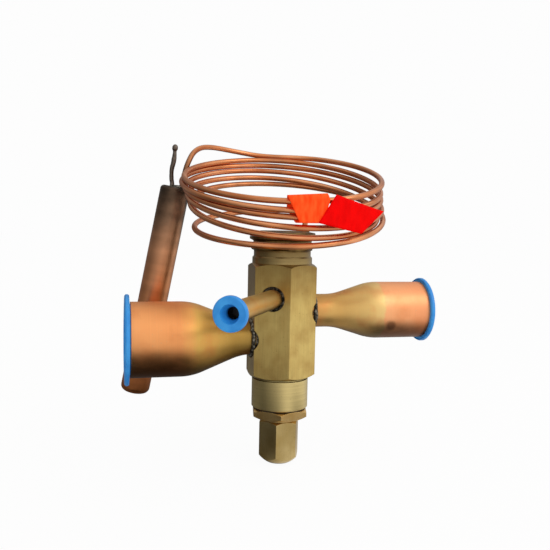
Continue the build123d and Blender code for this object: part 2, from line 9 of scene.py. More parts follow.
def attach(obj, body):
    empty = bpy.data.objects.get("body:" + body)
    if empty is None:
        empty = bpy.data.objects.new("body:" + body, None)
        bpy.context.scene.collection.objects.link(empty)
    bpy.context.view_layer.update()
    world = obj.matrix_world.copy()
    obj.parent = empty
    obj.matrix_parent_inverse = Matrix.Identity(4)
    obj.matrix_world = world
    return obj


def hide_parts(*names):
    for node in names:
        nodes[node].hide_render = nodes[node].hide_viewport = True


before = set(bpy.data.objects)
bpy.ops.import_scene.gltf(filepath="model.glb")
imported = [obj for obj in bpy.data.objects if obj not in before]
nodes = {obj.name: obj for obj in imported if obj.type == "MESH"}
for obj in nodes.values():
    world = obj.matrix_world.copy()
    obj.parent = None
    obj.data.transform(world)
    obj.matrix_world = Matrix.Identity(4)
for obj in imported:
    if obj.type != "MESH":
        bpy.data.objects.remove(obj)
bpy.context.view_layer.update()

MM = 0.001
scene = bpy.context.scene

# Places taken over from the model, in millimetres.
INLET_HEIGHT, OUTLET_HEIGHT, EQUALIZER_HEIGHT = 64.2, 53.1, 70.3
EQUALIZER_ANGLE = radians(240)
INLET_BELL, OUTLET_BELL, EQUALIZER_TUBE = 12.15, 15.3, 3.85
BODY_BOTTOM, BODY_TOP = 36.9, 84.3
BULB_LOW, BULB_TOP = Vector((-59.3, 32.0, 24.5)), Vector((-42.4, 24.0, 115.7))
CAPILLARY_RADIUS = 1.15
CAPILLARY_FOOT = 2.6   # across the bulb's top face, from its middle
NOWHERE = 900   # a height that no piece reaches


# ---------------------------------------------------------------- camera
def place_camera():
    """A 36 mm sensor seen from the front left, a little above the ports and rolled by a degree."""
    azimuth, elevation, roll = radians(-13.618), radians(4.319), radians(1.127)
    distance, aside, aim_height = 287.6, -2.871, 79.201
    back = Vector((sin(azimuth) * cos(elevation), -cos(azimuth) * cos(elevation), sin(elevation)))
    target = Vector((cos(azimuth) * aside, sin(azimuth) * aside, aim_height))
    lens = bpy.data.cameras.new("camera")
    lens.sensor_width = 36.0
    lens.lens = 44.872
    lens.clip_start = 0.01
    camera = bpy.data.objects.new("camera", lens)
    camera.location = (target + back * distance) * MM
    camera.rotation_mode = "QUATERNION"
    camera.rotation_quaternion = back.to_track_quat("Z", "Y") @ Quaternion((0, 0, 1), roll)
    scene.collection.objects.link(camera)
    scene.camera = camera


# ---------------------------------------------------------------- materials
def colour(code):
    """A linear colour from an sRGB hex code."""
    values = [int(code[i:i + 2], 16) / 255 for i in (1, 3, 5)]
    return [v / 12.92 if v <= 0.04045 else ((v + 0.055) / 1.055) ** 2.4 for v in values] + [1.0]


def add(tree, kind, links=None, stops=(), **settings):
    """Adds a node: settings are its properties, links its inputs as values or as other nodes' outputs.

    stops are a colour ramp's (position, hex code) pairs. Inputs that share a name go by number. Map
    Range takes its value at 0, its old ends at 1 and 2 and its new ends at 3 and 4. Mix takes its
    factor at 0 and then numbers at 2 and 3 or colours at 6 and 7, and gives a mixed colour at output 2.
    """
    node = tree.nodes.new("ShaderNode" + kind)
    for name, value in settings.items():
        setattr(node, name, value)
    for socket, value in (links or {}).items():
        if isinstance(value, bpy.types.NodeSocket):
            tree.links.new(value, node.inputs[socket])
        else:
            node.inputs[socket].default_value = value
    for index, (position, code) in enumerate(stops):
        elements = node.color_ramp.elements
        element = elements[index] if index < 2 else elements.new(position)
        element.position, element.color = position, colour(code)
    return node


def new_material(name, **constants):
    """A material with one shader, whose constant values are set on its own sockets."""
    made = bpy.data.materials.new(name)
    made.use_nodes = True
    made.node_tree.nodes.clear()
    shader = add(made.node_tree, "BsdfPrincipled",
                 {key.replace("_", " "): value for key, value in constants.items()})
    add(made.node_tree, "OutputMaterial", {"Surface": shader.outputs[0]})
    place = add(made.node_tree, "TexCoord").outputs["Object"]
    return made, made.node_tree, shader, place


def wire(tree, shader, **sockets):
    """Leads outputs to the shader's sockets, with underscores for the spaces in their names."""
    for name, source in sockets.items():
        tree.links.new(source, shader.inputs[name.replace("_", " ")])


def drawn_brass(name, light, dark, turned, turned_to, turned_from, top_shade_from=NOWHERE):
    """Leaded brass bar, drawn and then turned at its ends, left bare and dulled by handling.

    Drawing leaves fine lines along the bar and turning leaves fine rings, both softly glossy, under
    a thin uneven tarnish that is browner in patches. The ends, below turned_to and above
    turned_from, are paler and cleaner, with a thin band of painted shade, nearly black, in the corner
    where the lower one starts. From the given height up, the bar is darkened brown as painted shade
    of the coil and head above it. A worn edge takes the light because it is rounded by a sixth of a
    millimetre.
    """
    made, tree, shader, place = new_material(name, Metallic=1.0)
    line_pitch, tarnish_size, speck_size = 0.35 * MM, 9 * MM, 0.7 * MM
    edge_wear, top_shade_fade = 0.16 * MM, 24
    along_bar = add(tree, "VectorMath", {0: place, 1: (1, 1, 0.03)}, operation="MULTIPLY").outputs[0]
    round_bar = add(tree, "VectorMath", {0: place, 1: (0.02, 0.02, 1)}, operation="MULTIPLY").outputs[0]
    drawn, rings = [add(tree, "TexNoise", {"Vector": way, "Scale": 1 / line_pitch, "Detail": 3.0}).outputs[0]
                    for way in (along_bar, round_bar)]
    height = add(tree, "SeparateXYZ", {0: place}).outputs[2]
    below = add(tree, "Math", {0: height, 1: turned_to * MM}, operation="LESS_THAN").outputs[0]
    above = add(tree, "Math", {0: height, 1: turned_from * MM}, operation="GREATER_THAN").outputs[0]
    ends = add(tree, "Math", {0: below, 1: above}, operation="ADD").outputs[0]
    lines = add(tree, "Mix", {0: ends, 2: drawn, 3: rings}).outputs[0]

    tarnish = add(tree, "TexNoise", {"Vector": place, "Scale": 1 / tarnish_size, "Detail": 5.0}).outputs[0]
    patches = add(tree, "ValToRGB", {0: tarnish}, stops=[(0.35, dark), (0.62, light)]).outputs[0]
    clean = add(tree, "Mix", {0: ends, 6: patches, 7: colour(turned)}, data_type="RGBA").outputs[2]
    shade = add(tree, "MapRange", {0: lines, 1: 0.3, 2: 0.7, 3: 0.93, 4: 1.05}).outputs[0]
    lined = add(tree, "Mix", {0: 1.0, 6: clean, 7: shade}, data_type="RGBA", blend_type="MULTIPLY").outputs[2]
    specks = add(tree, "TexNoise", {"Vector": place, "Scale": 1 / speck_size, "Detail": 2.0}).outputs[0]
    stain = add(tree, "MapRange", {0: specks, 1: 0.68, 2: 0.76, 3: 0.0, 4: 0.5}).outputs[0]
    stained = add(tree, "Mix", {0: stain, 6: lined, 7: colour("#6a5430")}, data_type="RGBA").outputs[2]
    # Painted shade: from the given height up, the bar is darkened brown for the shade of the coil and head
    # above it.
    top_shade = add(tree, "MapRange", {0: height, 1: top_shade_from * MM, 2: (top_shade_from + top_shade_fade) * MM,
                                  3: 0.0, 4: 0.85}).outputs[0]
    top_shaded = add(tree, "Mix", {0: top_shade, 6: stained, 7: colour("#573a1a")}, data_type="RGBA").outputs[2]
    # Painted shade: a thin, nearly black band in the corner where the lower end starts.
    corner = add(tree, "Math", {0: height, 1: turned_to * MM}, operation="SUBTRACT").outputs[0]
    from_corner = add(tree, "Math", {0: corner}, operation="ABSOLUTE").outputs[0]
    corner_shade = add(tree, "MapRange", {0: from_corner, 1: 0.2 * MM, 2: 0.55 * MM, 3: 0.9, 4: 0.0}).outputs[0]
    tone = add(tree, "Mix", {0: corner_shade, 6: top_shaded, 7: colour("#14100a")}, data_type="RGBA").outputs[2]

    gloss = add(tree, "MapRange", {0: lines, 1: 0.3, 2: 0.7, 3: 0.38, 4: 0.28}).outputs[0]
    worn = add(tree, "Bevel", {"Radius": edge_wear}).outputs[0]
    bump = add(tree, "Bump", {"Height": lines, "Normal": worn, "Strength": 0.12, "Distance": 0.02 * MM})
    wire(tree, shader, Base_Color=tone, Roughness=gloss, Normal=bump.outputs[0])
    return made


def heat_tinted_copper(name, stops, way, axis_height, radius, reach, smudge=(0, 0, NOWHERE)):
    """Copper tube, drawn, swaged and brazed by torch at its inner end.

    Brazing leaves brass-yellow tints that end in a clear border on the bell and rosy copper beyond
    it. The under side is darkened purple-brown as painted shade, which also stands for the oxide where
    the flame ran on. The tints follow the tube from the valve's axis to its reach. Swaging leaves faint
    rings.
    """
    made, tree, shader, place = new_material(name, Metallic=1.0)
    ring_pitch, cloud_size, flush_size, speck_size = 0.6 * MM, 7 * MM, 11 * MM, 0.5 * MM
    border_drift, smudge_drift, smudge_core, smudge_edge = 4 * MM, -3 * MM, 0.2 * MM, 1.6 * MM
    underside_drift, underside_full = 0.3 * radius * MM, (axis_height - 0.8 * radius) * MM
    out = add(tree, "VectorMath", {0: place, 1: way}, operation="DOT_PRODUCT").outputs[1]
    cloud = add(tree, "TexNoise", {"Vector": place, "Scale": 1 / cloud_size, "Detail": 4.0,
                                   "Roughness": 0.6}).outputs[0]
    drifted = add(tree, "Math", {0: cloud, 1: border_drift, 2: out}, operation="MULTIPLY_ADD").outputs[0]
    share = add(tree, "Math", {0: drifted, 1: reach * MM}, operation="DIVIDE").outputs[0]
    tint = add(tree, "ValToRGB", {0: share}, stops=stops).outputs[0]
    rings = add(tree, "TexNoise", {"Vector": out, "Scale": 1 / ring_pitch, "Detail": 2.0}).outputs[0]
    shade = add(tree, "MapRange", {0: rings, 1: 0.3, 2: 0.7, 3: 0.98, 4: 1.02}).outputs[0]
    ringed = add(tree, "Mix", {0: 1.0, 6: tint, 7: shade}, data_type="RGBA", blend_type="MULTIPLY").outputs[2]
    blotch = add(tree, "TexNoise", {"Vector": place, "Scale": 1 / flush_size, "Detail": 3.0}).outputs[0]
    flush = add(tree, "MapRange", {0: blotch, 1: 0.50, 2: 0.68, 3: 0.0, 4: 0.38}).outputs[0]
    flushed = add(tree, "Mix", {0: flush, 6: ringed, 7: colour("#df8148")}, data_type="RGBA").outputs[2]

    aside = add(tree, "VectorMath", {0: place, 1: Vector(smudge) * MM}, operation="DISTANCE").outputs[1]
    uneven = add(tree, "Math", {0: cloud, 1: smudge_drift, 2: aside}, operation="MULTIPLY_ADD").outputs[0]
    touch = add(tree, "MapRange", {0: uneven, 1: smudge_core, 2: smudge_edge, 3: 0.6, 4: 0.0}).outputs[0]
    touched = add(tree, "Mix", {0: touch, 6: flushed, 7: colour("#4a2a1c")}, data_type="RGBA").outputs[2]
    # Painted shade: below its axis each tube is darkened purple-brown, which also stands for the flame's
    # oxide there.
    height = add(tree, "SeparateXYZ", {0: place}).outputs[2]
    ragged = add(tree, "Math", {0: cloud, 1: underside_drift, 2: height}, operation="MULTIPLY_ADD").outputs[0]
    underside_shade = add(tree, "MapRange", {0: ragged, 1: axis_height * MM, 2: underside_full, 3: 0.0, 4: 0.8},
                interpolation_type="SMOOTHSTEP").outputs[0]
    underside_shaded = add(tree, "Mix", {0: underside_shade, 6: touched, 7: colour("#3a2418")}, data_type="RGBA").outputs[2]
    specks = add(tree, "TexNoise", {"Vector": place, "Scale": 1 / speck_size, "Detail": 1.0}).outputs[0]
    fleck = add(tree, "MapRange", {0: specks, 1: 0.70, 2: 0.78, 3: 0.0, 4: 0.35}).outputs[0]
    tone = add(tree, "Mix", {0: fleck, 6: underside_shaded, 7: colour("#c9b79a")}, data_type="RGBA").outputs[2]

    gloss = add(tree, "MapRange", {0: cloud, 1: 0.3, 2: 0.7, 3: 0.42, 4: 0.52}).outputs[0]
    bump = add(tree, "Bump", {"Height": rings, "Strength": 0.10, "Distance": 0.03 * MM})
    wire(tree, shader, Base_Color=tone, Roughness=gloss, Normal=bump.outputs[0])
    return made


def drawn_copper():
    """Copper capillary, drawn through dies and wound by hand.

    Nearly bright, rosy orange, with long streaks of brown oxide that follow the tube and short
    dull stretches where it was gripped. Its first two centimetres were smoked as the bulb was brazed.
    The streaks follow a piece's attribute that holds the way round the tube and along it.
    """
    made, tree, shader, place = new_material("drawn_copper_capillary", Metallic=1.0)
    along = add(tree, "Attribute", attribute_name="along").outputs["Vector"]
    stretch, grip_length = (1.1, 1.1, 45), 14 * MM   # streaks about 2 cm long and half a turn wide
    smoke_full, smoke_end = 6 * MM, 22 * MM
    streak_place = add(tree, "VectorMath", {0: along, 1: stretch}, operation="MULTIPLY").outputs[0]
    streaks = add(tree, "TexNoise", {"Vector": streak_place, "Scale": 1.0, "Detail": 4.0}).outputs[0]
    grips = add(tree, "TexNoise", {"Vector": place, "Scale": 1 / grip_length, "Detail": 2.0}).outputs[0]
    tint = add(tree, "ValToRGB", {0: streaks},
               stops=[(0.28, "#a55a36"), (0.48, "#d58857"), (0.68, "#f0aa7a")]).outputs[0]
    dull = add(tree, "MapRange", {0: grips, 1: 0.50, 2: 0.70, 3: 0.0, 4: 0.55}).outputs[0]
    worn = add(tree, "Mix", {0: dull, 6: tint, 7: colour("#a9714f")}, data_type="RGBA").outputs[2]
    length = add(tree, "SeparateXYZ", {0: along}).outputs[2]
    smoked = add(tree, "MapRange", {0: length, 1: smoke_full, 2: smoke_end, 3: 0.85, 4: 0.0}).outputs[0]
    tone = add(tree, "Mix", {0: smoked, 6: worn, 7: colour("#3a2b22")}, data_type="RGBA").outputs[2]
    gloss = add(tree, "MapRange", {0: grips, 1: 0.4, 2: 0.65, 3: 0.27, 4: 0.42}).outputs[0]
    bump = add(tree, "Bump", {"Height": streaks, "Strength": 0.08, "Distance": 0.03 * MM})
    wire(tree, shader, Base_Color=tone, Roughness=gloss, Normal=bump.outputs[0])
    return made


def burnt_copper(name, stops, wedge_aside):
    """Copper bulb with its filling end silver-soldered, which burnt that end.

    Sooty black in a wedge below the soldered joints, where the flame played; lower down the bulb's
    right side the same wedge is painted shade. Smoky brown beside it, then dull rosy brown with paler
    bands across where the strap and fingers rubbed it.
    """
    made, tree, shader, place = new_material(name, Metallic=1.0)
    cloud_size, band_pitch, burn_drift, burn_length = 8 * MM, 5 * MM, 20 * MM, 102 * MM
    wedge_half, wedge_taper, wedge_drift = 5.2 * MM, 0.14, 3 * MM   # half its width at the top face
    lean = (BULB_TOP - BULB_LOW).to_track_quat("Z", "Y").to_euler()
    local = add(tree, "Mapping", {0: place, 1: BULB_TOP * MM, 2: lean}, vector_type="TEXTURE").outputs[0]
    axes = add(tree, "SeparateXYZ", {0: local})
    cloud = add(tree, "TexNoise", {"Vector": local, "Scale": 1 / cloud_size, "Detail": 4.0}).outputs[0]
    crossing = add(tree, "VectorMath", {0: local, 1: (0.1, 0.1, 1)}, operation="MULTIPLY").outputs[0]
    bands = add(tree, "TexNoise", {"Vector": crossing, "Scale": 1 / band_pitch, "Detail": 2.0}).outputs[0]
    down = add(tree, "Math", {0: cloud, 1: burn_drift, 2: axes.outputs[2]},
               operation="MULTIPLY_ADD").outputs[0]
    share = add(tree, "MapRange", {0: down, 1: burn_drift / 2, 2: burn_drift / 2 - burn_length}).outputs[0]
    tint = add(tree, "ValToRGB", {0: share}, stops=stops).outputs[0]
    shade = add(tree, "MapRange", {0: bands, 1: 0.35, 2: 0.68, 3: 0.88, 4: 1.12}).outputs[0]
    banded = add(tree, "Mix", {0: 1.0, 6: tint, 7: shade}, data_type="RGBA", blend_type="MULTIPLY").outputs[2]

    # Painted shade and soot: a dark wedge beside the bulb's axis, soot near the top face and painted shade of
    # the right side lower down.
    sideways = add(tree, "Math", {0: axes.outputs[0], 1: wedge_aside * MM}, operation="SUBTRACT").outputs[0]
    aside = add(tree, "Math", {0: sideways}, operation="ABSOLUTE").outputs[0]
    half = add(tree, "Math", {0: axes.outputs[2], 1: wedge_taper, 2: wedge_half},
               operation="MULTIPLY_ADD").outputs[0]
    within = add(tree, "Math", {0: half, 1: aside}, operation="SUBTRACT").outputs[0]
    ragged = add(tree, "Math", {0: cloud, 1: wedge_drift, 2: within}, operation="MULTIPLY_ADD").outputs[0]
    soot_and_shade = add(tree, "MapRange", {0: ragged, 1: 0.5 * MM, 2: 4 * MM, 3: 0.0, 4: 0.9},
               interpolation_type="SMOOTHSTEP").outputs[0]
    tone = add(tree, "Mix", {0: soot_and_shade, 6: banded, 7: colour("#241d18")}, data_type="RGBA").outputs[2]

    gloss = add(tree, "MapRange", {0: cloud, 1: 0.3, 2: 0.7, 3: 0.36, 4: 0.50}).outputs[0]
    bump = add(tree, "Bump", {"Height": cloud, "Strength": 0.1, "Distance": 0.2 * MM})
    wire(tree, shader, Base_Color=tone, Roughness=gloss, Normal=bump.outputs[0])
    return made


def brazing_filler():
    """Silver brazing filler under burnt flux: grey, pitted, nearly black where the flux charred."""
    made, tree, shader, place = new_material("silver_brazing_filler", Metallic=0.7)
    lump_size = 1.2 * MM
    lumps = add(tree, "TexNoise", {"Vector": place, "Scale": 1 / lump_size, "Detail": 5.0}).outputs[0]
    tint = add(tree, "ValToRGB", {0: lumps},
               stops=[(0.38, "#26221c"), (0.54, "#5f5a4e"), (0.70, "#a39d8e")]).outputs[0]
    gloss = add(tree, "MapRange", {0: lumps, 1: 0.4, 2: 0.7, 3: 0.65, 4: 0.35}).outputs[0]
    bump = add(tree, "Bump", {"Height": lumps, "Strength": 0.6, "Distance": 0.3 * MM})
    wire(tree, shader, Base_Color=tint, Roughness=gloss, Normal=bump.outputs[0])
    return made


def moulded_polyethylene(name, way=(0, 0, 1), bottom=-NOWHERE):
    """Blue polyethylene, injection moulded: bright, a little waxy, with faint flow clouds.

    Deep in a plug's bore, under the given distance out, the colour is painted nearly black as the
    shade of the blind end, from which no light comes back.
    """
    made, tree, shader, place = new_material(name, Specular_IOR_Level=0.45, IOR=1.51)
    cloud_size, grain_size, shade_depth = 6 * MM, 0.5 * MM, 1.6
    cloud = add(tree, "TexNoise", {"Vector": place, "Scale": 1 / cloud_size, "Detail": 2.0}).outputs[0]
    tint = add(tree, "ValToRGB", {0: cloud}, stops=[(0.35, "#218adf"), (0.65, "#3aa2ee")]).outputs[0]
    out = add(tree, "VectorMath", {0: place, 1: way}, operation="DOT_PRODUCT").outputs[1]
    # Painted shade: nearly black deep in the bore.
    bore_shade = add(tree, "MapRange", {0: out, 1: bottom * MM, 2: (bottom - shade_depth) * MM}).outputs[0]
    tone = add(tree, "Mix", {0: bore_shade, 6: tint, 7: colour("#02060f")}, data_type="RGBA").outputs[2]
    gloss = add(tree, "MapRange", {0: cloud, 1: 0.3, 2: 0.7, 3: 0.34, 4: 0.46}).outputs[0]
    grain = add(tree, "TexNoise", {"Vector": place, "Scale": 1 / grain_size, "Detail": 1.0}).outputs[0]
    bump = add(tree, "Bump", {"Height": grain, "Strength": 0.08, "Distance": 0.03 * MM})
    wire(tree, shader, Base_Color=tone, Roughness=gloss, Normal=bump.outputs[0])
    return made


def vinyl_film(name, light, dark, painted_glow, strength):
    """Fluorescent red vinyl tape: saturated and glossy, with a painted red glow, a constant emission
    that stands for its dye giving back more red than falls on it.

    Stretching over the turns leaves paler ripples across it.
    """
    # Painted glow: the emission makes the film glow red though it is no lamp.
    made, tree, shader, place = new_material(name, IOR=1.5, Specular_IOR_Level=0.03,
                                             Emission_Color=colour(painted_glow), Emission_Strength=strength)
    ripple_size, lean, stretch = 2.2 * MM, (0, 0.3, 0), (1.0, 0.5, 0.35)
    leaning = add(tree, "Mapping", {0: place, 2: lean, 3: stretch}).outputs[0]
    cloud = add(tree, "TexNoise", {"Vector": leaning, "Scale": 1 / ripple_size, "Detail": 2.0}).outputs[0]
    tint = add(tree, "ValToRGB", {0: cloud}, stops=[(0.38, dark), (0.66, light)]).outputs[0]
    gloss = add(tree, "MapRange", {0: cloud, 1: 0.3, 2: 0.7, 3: 0.40, 4: 0.55}).outputs[0]
    bump = add(tree, "Bump", {"Height": cloud, "Strength": 0.15, "Distance": 0.3 * MM})
    wire(tree, shader, Base_Color=tint, Roughness=gloss, Normal=bump.outputs[0])
    return made


def worked_metal(name, light, dark, rough):
    """Turned, drawn or pressed metal parts with fine rings and a slight cloud of handling."""
    made, tree, shader, place = new_material(name, Metallic=1.0)
    ring_pitch, cloud_size = 0.4 * MM, 5 * MM
    round_part = add(tree, "VectorMath", {0: place, 1: (0.05, 0.05, 1)}, operation="MULTIPLY").outputs[0]
    rings = add(tree, "TexNoise", {"Vector": round_part, "Scale": 1 / ring_pitch, "Detail": 2.0}).outputs[0]
    cloud = add(tree, "TexNoise", {"Vector": place, "Scale": 1 / cloud_size, "Detail": 3.0}).outputs[0]
    tint = add(tree, "ValToRGB", {0: cloud}, stops=[(0.35, dark), (0.65, light)]).outputs[0]
    gloss = add(tree, "MapRange", {0: rings, 1: 0.3, 2: 0.7, 3: rough - 0.05, 4: rough + 0.07}).outputs[0]
    bump = add(tree, "Bump", {"Height": rings, "Strength": 0.1, "Distance": 0.02 * MM})
    wire(tree, shader, Base_Color=tint, Roughness=gloss, Normal=bump.outputs[0])
    return made


def moulded_seal(name, light, dark):
    """Pressed seals, dull and faintly clouded: chalky off-white PTFE or nearly black oiled fibre."""
    made, tree, shader, place = new_material(name, IOR=1.38)
    cloud_size = 2 * MM
    cloud = add(tree, "TexNoise", {"Vector": place, "Scale": 1 / cloud_size, "Detail": 3.0}).outputs[0]
    tint = add(tree, "ValToRGB", {0: cloud}, stops=[(0.35, dark), (0.65, light)]).outputs[0]
    gloss = add(tree, "MapRange", {0: cloud, 1: 0.3, 2: 0.7, 3: 0.5, 4: 0.65}).outputs[0]
    wire(tree, shader, Base_Color=tint, Roughness=gloss)
    return made


# The colours along each copper piece, as (share, hex code): a tube's from the valve's axis outwards,
# and the bulb's and its tail's from just above the bulb's top face downwards.
INLET_STOPS = [(0.0, "#c2a05e"), (0.42, "#dcae66"), (0.62, "#e8c27a"), (0.70, "#edc683"),
               (0.715, "#f9b27c"), (1.0, "#f9a874")]
OUTLET_STOPS = [(0.0, "#94763e"), (0.38, "#b58f48"), (0.52, "#dcae5c"), (0.64, "#e8b862"),
                (0.69, "#f8b468"), (0.76, "#f9a867"), (1.0, "#f8ab6c")]
EQUALIZER_STOPS = [(0.0, "#b5965a"), (0.6, "#d0ae69"), (0.75, "#dfb366"), (1.0, "#e2bf7e")]
BULB_STOPS = [(0.0, "#4a3c31"), (0.12, "#8a6a52"), (0.28, "#c68e68"), (0.5, "#d38d5f"),
              (0.75, "#dc8a54"), (1.0, "#96592f")]
TAIL_STOPS = [(0.0, "#6a5f55"), (0.02, "#8f8478"), (0.06, "#a07a60"), (0.13, "#4b3d33"), (1.0, "#2e2620")]
INLET_SMUDGE = (45.2, -10.8, 58.6)   # a finger mark on the inlet's bell


def dress_nodes(filler):
    """Gives each CAD node that is shown its finish."""
    body_brass = drawn_brass("drawn_brass_bar", "#d2b66e", "#bd9c5a", "#d8c183",
                             BODY_BOTTOM - 0.1, BODY_TOP + 0.05, top_shade_from=67)
    golden_brass = drawn_brass("turned_brass_nut", "#eac584", "#d6ab64", "#eac584", 0, NOWHERE)
    cap_brass = drawn_brass("turned_brass_cap", "#dcc184", "#c9aa69", "#dcc184", 0, NOWHERE)
    steel = worked_metal("turned_stainless_steel", "#c9c7c0", "#a9a69e", 0.32)
    seal = moulded_seal("moulded_ptfe_seal", "#e6e2d6", "#cfcabb")
    fibre = moulded_seal("pressed_oiled_fibre", "#2b241b", "#1a1510")
    equalizer_way = (cos(EQUALIZER_ANGLE), sin(EQUALIZER_ANGLE), 0)
    blue = moulded_polyethylene("moulded_blue_polyethylene")
    # The head's brass is given darker colours than the rest: painted shade of the coil above it.
    head = worked_metal("pressed_brass_head_in_painted_shade", "#8a7040", "#5c4526", 0.42)
    finishes = {
        "valve_body": body_brass, "adjuster_housing": golden_brass, "seal_cap": cap_brass,
        "packing_gland": golden_brass, "spring_plate": golden_brass, "spring_carrier": golden_brass,
        "inlet_tube": heat_tinted_copper("heat_tinted_copper_inlet", INLET_STOPS, (1, 0, 0),
                                         INLET_HEIGHT, INLET_BELL, 62, smudge=INLET_SMUDGE),
        "outlet_tube": heat_tinted_copper("heat_tinted_copper_outlet", OUTLET_STOPS, (-1, 0, 0),
                                          OUTLET_HEIGHT, OUTLET_BELL, 60),
        "equalizer_tube": heat_tinted_copper("heat_tinted_copper_equalizer", EQUALIZER_STOPS,
                                             equalizer_way, EQUALIZER_HEIGHT, EQUALIZER_TUBE, 61),
        "inlet_braze_ring": filler, "outlet_braze_ring": filler, "equalizer_braze_ring": filler,
        "inlet_plug": blue, "outlet_plug": blue,
        "equalizer_plug": moulded_polyethylene("moulded_blue_polyethylene_bored", equalizer_way, bottom=60.2),
        "sensing_bulb": burnt_copper("burnt_copper_bulb", BULB_STOPS, wedge_aside=2.8),
        "head_base": head, "head_cover": head, "diaphragm": steel, "thrust_pad": steel,
        "orifice_seat": steel, "valve_cone": steel, "push_rod": steel, "adjusting_stem": steel,
        "seal_washer": steel,
        "superheat_spring": worked_metal("drawn_spring_steel", "#9c9c9e", "#77777a", 0.3),
        "rod_seal": seal, "stem_packing": seal, "housing_gasket": fibre, "cap_gasket": fibre,
    }
    for name, finish in finishes.items():
        for material_slot in nodes[name].material_slots:
            material_slot.material = finish


# ---------------------------------------------------------------- pieces
def finished(name, mesh, finish, body="valve", replaced=()):
    """Turns a bmesh into a smooth-shaded piece at the origin that rides on a body."""
    data = bpy.data.meshes.new(name)
    mesh.to_mesh(data)
    mesh.free()
    data.materials.append(finish)
    for polygon in data.polygons:
        polygon.use_smooth = True
    piece = bpy.data.objects.new(name, data)
    scene.collection.objects.link(piece)
    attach(piece, body)
    if replaced:
        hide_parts(*replaced)
    return piece


def on_bulb(across, along):
    """A point of the bulb's upright plane, in millimetres: across to the right, along from its top face."""
    lean = (BULB_TOP - BULB_LOW).normalized()
    aside = Vector((1, 0, -lean.x / lean.z)).normalized()
    return BULB_TOP + aside * across + lean * along


# The capillary's route: out of the bulb, six turns, into the head, in millimetres. Each turn has its
# back and front height, its right and left radius, its lift at the right and its drop at the left.
POINTS_PER_TURN = 12
TURNS = [
    (132.1, 108.9, 40.3, 41.1, 2.0, 1.4),
    (130.3, 105.5, 39.8, 42.0, 0.5, 0.7),
    (127.8, 103.1, 40.0, 40.6, 0.2, 0.5),
    (125.3, 99.3, 40.5, 39.7, -0.4, -0.3),
    (122.0, 95.7, 38.8, 38.5, -0.1, 0.1),
    (119.3, 92.8, 41.4, 36.7, 1.8, 1.8),
]
COIL_START_RADIUS, LAST_BACK_HEIGHT, LAST_RIGHT_RADIUS = 45.0, 106.7, 37.2
BULB_LEAD = [(-37.2, 24.2, 126.4), (-33.9, 27.4, 132.3), (-27.6, 33.9, 135.0), (-13.0, 41.8, 133.9)]
HEAD_LEAD = [(0.0, 38.5, 106.8), (16.0, 33.0, 107.0), (25.0, 22.5, 106.9), (25.5, 12.0, 106.3),
             (19.5, 4.7, 105.6), (13.2, 2.4, 105.2), (9.8, 1.2, 102.6), (9.8, 1.2, 98.6)]


def eased(values, place):
    """The list's value at a fractional place, moving smoothly from each entry to the next."""
    whole = min(int(place), len(values) - 2)
    share = (1 - cos(pi * (place - whole))) / 2
    return values[whole] + (values[whole + 1] - values[whole]) * share


def coil_points():
    """Control points round the turns, clockwise seen from above, from the back of the first turn.

    Each is pushed out by an eighth of the bend there, so that the smooth line passes the turn's place.
    """
    heights = [height for turn in TURNS for height in turn[:2]] + [LAST_BACK_HEIGHT]
    radii = [COIL_START_RADIUS] + [radius for turn in TURNS for radius in turn[2:4]] + [LAST_RIGHT_RADIUS]
    tilts = [TURNS[0][4]] + [tilt for turn in TURNS for tilt in turn[4:]] + [TURNS[-1][5]]
    route = []
    for step in range(POINTS_PER_TURN * len(TURNS)):
        half_turns = 2 * step / POINTS_PER_TURN
        angle = pi / 2 - pi * half_turns
        radius = eased(radii, half_turns + 0.5)
        height = eased(heights, half_turns) + eased(tilts, half_turns + 0.5) * sin(pi * half_turns)
        route.append(Vector((radius * cos(angle), radius * sin(angle), height)))
    between = [here - (before - 2 * here + after) / 8
               for before, here, after in zip(route, route[1:], route[2:])]
    return [route[0]] + between + [route[-1]]


def centre_line(route):
    """Finely spaced points, in metres, of the NURBS line that the route controls."""
    curve = bpy.data.curves.new("route", "CURVE")
    curve.dimensions = "3D"
    line = curve.splines.new("NURBS")
    line.points.add(len(route) - 1)
    for point, place in zip(line.points, route):
        point.co = (*(Vector(place) * MM), 1.0)
    line.order_u = 3
    line.use_endpoint_u = True
    line.resolution_u = 10
    holder = bpy.data.objects.new("route", curve)
    scene.collection.objects.link(holder)
    data = bpy.data.meshes.new_from_object(holder.evaluated_get(bpy.context.evaluated_depsgraph_get()))
    bpy.data.objects.remove(holder)
    return [vertex.co.copy() for vertex in data.vertices]


def value_at(points, place):
    """The value at a place, read off (place, value) points that are joined by straight lines."""
    for (place_0, value_0), (place_1, value_1) in zip(points, points[1:]):
        if place <= place_1 or place_1 == points[-1][0]:
            share = min(1.0, max(0.0, (place - place_0) / (place_1 - place_0)))
            return value_0 + (value_1 - value_0) * share


